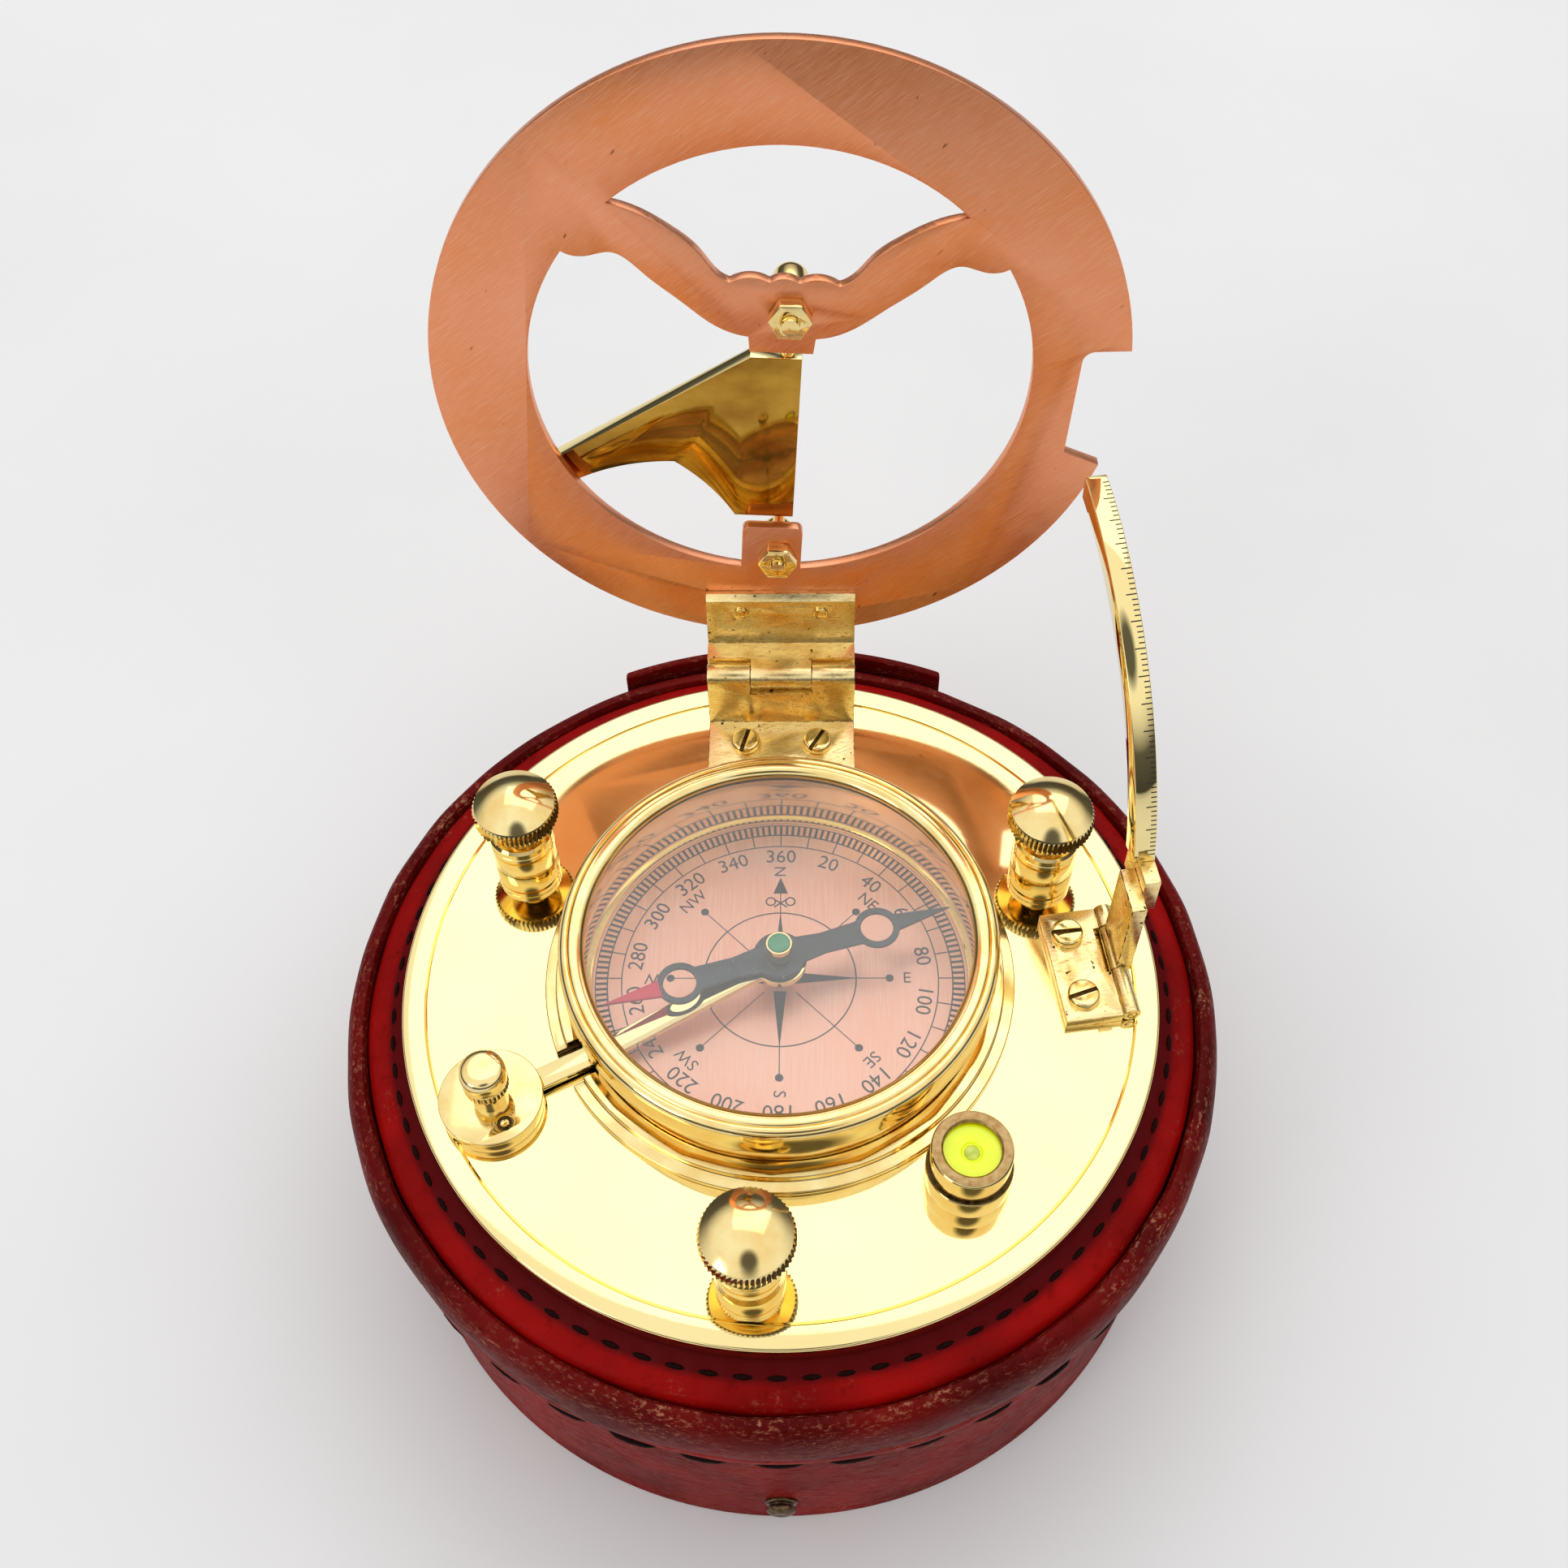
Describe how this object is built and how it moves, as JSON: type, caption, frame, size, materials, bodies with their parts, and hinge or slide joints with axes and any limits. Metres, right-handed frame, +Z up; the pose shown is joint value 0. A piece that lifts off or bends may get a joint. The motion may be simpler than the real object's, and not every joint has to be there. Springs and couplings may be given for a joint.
{
  "type": "pocket sundial",
  "caption": "Pocket sundial with compass, hinged hour ring, folding gnomon and latitude arc on a round brass plate, in a leather case base.",
  "frame": {"origin": "centre of the case's underside, on the surface it stands on", "axes": "+Z up, +Y towards the hour ring's hinge, +X to the side of the latitude arc"},
  "size_m": [0.1182, 0.123, 0.1486],
  "materials": {
    "plate_brass": "mirror polished yellow brass",
    "turned_brass": "turned and polished brass",
    "filed_brass": "filed brass with dull patches",
    "copper": "brushed copper",
    "dial_copper": "brushed copper with black print",
    "leather_dark": "worn dark red leather",
    "leather_red": "bright red leather",
    "felt": "dark red felt",
    "blued_steel": "blued steel with a red tip",
    "steel": "bright steel",
    "clear_glass": "clear window",
    "level_liquid": "yellow-green liquid",
    "bubble": "air bubble",
    "bronze": "dark bronze rim",
    "green_enamel": "green enamel dot",
    "stud_metal": "antique press stud"
  },
  "bodies": {
    "case": {"case_wall": "leather_dark", "case_floor": "leather_dark", "case_floor_pad": "felt", "case_collar": "leather_red", "case_rim_welt": "leather_dark", "case_lid_strap": "leather_dark", "case_press_stud": "stud_metal"},
    "instrument": {"base_plate": "plate_brass", "compass_dial": "dial_copper", "compass_drum": "turned_brass", "compass_flange": "turned_brass", "compass_bezel": "turned_brass", "compass_glass": "clear_glass", "needle_pivot": "steel", "lever_pin": "steel", "level_housing": "turned_brass", "level_vial": "level_liquid", "level_bubble": "bubble", "level_lid_ring": "bronze", "hinge_foot_screws": "turned_brass", "arc_block_screws": "turned_brass", "hinge_foot": "filed_brass", "hinge_pin": "filed_brass", "arc_block": "filed_brass", "arc_pin": "filed_brass", "screw_pillar_left": "turned_brass", "screw_pillar_right": "turned_brass", "screw_pillar_front": "turned_brass"},
    "hour_ring": {"hour_ring": "copper", "hinge_leaf": "filed_brass", "hinge_leaf_rivets": "turned_brass", "gnomon_post_hub": "turned_brass", "gnomon_post_foot": "turned_brass", "gnomon_nuts": "turned_brass"},
    "gnomon": {"gnomon": "plate_brass", "gnomon_pins": "turned_brass"},
    "latitude_arc": {"latitude_arc": "plate_brass", "arc_lug": "filed_brass", "arc_bracket": "filed_brass"},
    "needle": {"compass_needle": "blued_steel", "needle_cap": "turned_brass", "needle_cap_dot": "green_enamel"},
    "lock_knob": {"lock_cam": "turned_brass", "lock_knob": "turned_brass"},
    "lock_lever": {"lock_lever": "turned_brass"},
    "screw_left": {"screw_rod_left": "turned_brass"},
    "head_left": {"screw_head_left": "turned_brass"},
    "screw_right": {"screw_rod_right": "turned_brass"},
    "head_right": {"screw_head_right": "turned_brass"},
    "screw_front": {"screw_rod_front": "turned_brass"},
    "head_front": {"screw_head_front": "turned_brass"}
  },
  "joints": [
    {"name": "lift_out", "type": "slide", "parent": "case", "child": "instrument", "axis": [0, 0, 1], "range_m": [0, 0.06]},
    {"name": "ring_hinge", "type": "hinge", "parent": "instrument", "child": "hour_ring", "pos_m": [0, 0.043, 0.06], "axis": [1, 0, 0], "range_deg": [0, 95]},
    {"name": "gnomon_fold", "type": "hinge", "parent": "hour_ring", "child": "gnomon", "pos_m": [0.00125, 0.05663, 0.10484], "axis": [-0.0541, -0.0888, -0.9946], "range_deg": [0, 90]},
    {"name": "arc_fold", "type": "hinge", "parent": "instrument", "child": "latitude_arc", "pos_m": [0.04456, 0.00128, 0.0513], "axis": [0.1392, -0.9903, 0], "range_deg": [0, 60]},
    {"name": "needle_spin", "type": "hinge", "parent": "instrument", "child": "needle", "pos_m": [0, 0, 0.055], "axis": [0, 0, 1], "continuous": true},
    {"name": "lock_turn", "type": "hinge", "parent": "instrument", "child": "lock_knob", "pos_m": [-0.03616, -0.0189, 0.0526], "axis": [0, 0, 1], "range_deg": [0, 80]},
    {"name": "lever_tilt", "type": "hinge", "parent": "instrument", "child": "lock_lever", "pos_m": [-0.02326, -0.01216, 0.05105], "axis": [0.4633, -0.8862, 0], "range_deg": [0, 1]},
    {"name": "screw_left_travel", "type": "slide", "parent": "instrument", "child": "screw_left", "axis": [0, 0, 1], "range_m": [-0.00116, 0.00174]},
    {"name": "screw_left_turn", "type": "hinge", "parent": "screw_left", "child": "head_left", "pos_m": [-0.03559, 0.01932, 0.061], "axis": [0, 0, 1], "range_deg": [-600, 900]},
    {"name": "screw_right_travel", "type": "slide", "parent": "instrument", "child": "screw_right", "axis": [0, 0, 1], "range_m": [-0.00116, 0.00174]},
    {"name": "screw_right_turn", "type": "hinge", "parent": "screw_right", "child": "head_right", "pos_m": [0.03624, 0.01807, 0.061], "axis": [0, 0, 1], "range_deg": [-600, 900]},
    {"name": "screw_front_travel", "type": "slide", "parent": "instrument", "child": "screw_front", "axis": [0, 0, 1], "range_m": [-0.00116, 0.00174]},
    {"name": "screw_front_turn", "type": "hinge", "parent": "screw_front", "child": "head_front", "pos_m": [-0.00332, -0.04036, 0.061], "axis": [0, 0, 1], "range_deg": [-600, 900]}
  ],
  "couplings": [
    {"joint": "lever_tilt", "follows": "lock_turn", "ratio": 0.01225},
    {"joint": "screw_left_turn", "follows": "screw_left_travel", "rad_per_m": 8976},
    {"joint": "screw_right_turn", "follows": "screw_right_travel", "rad_per_m": 8976},
    {"joint": "screw_front_turn", "follows": "screw_front_travel", "rad_per_m": 8976}
  ]
}
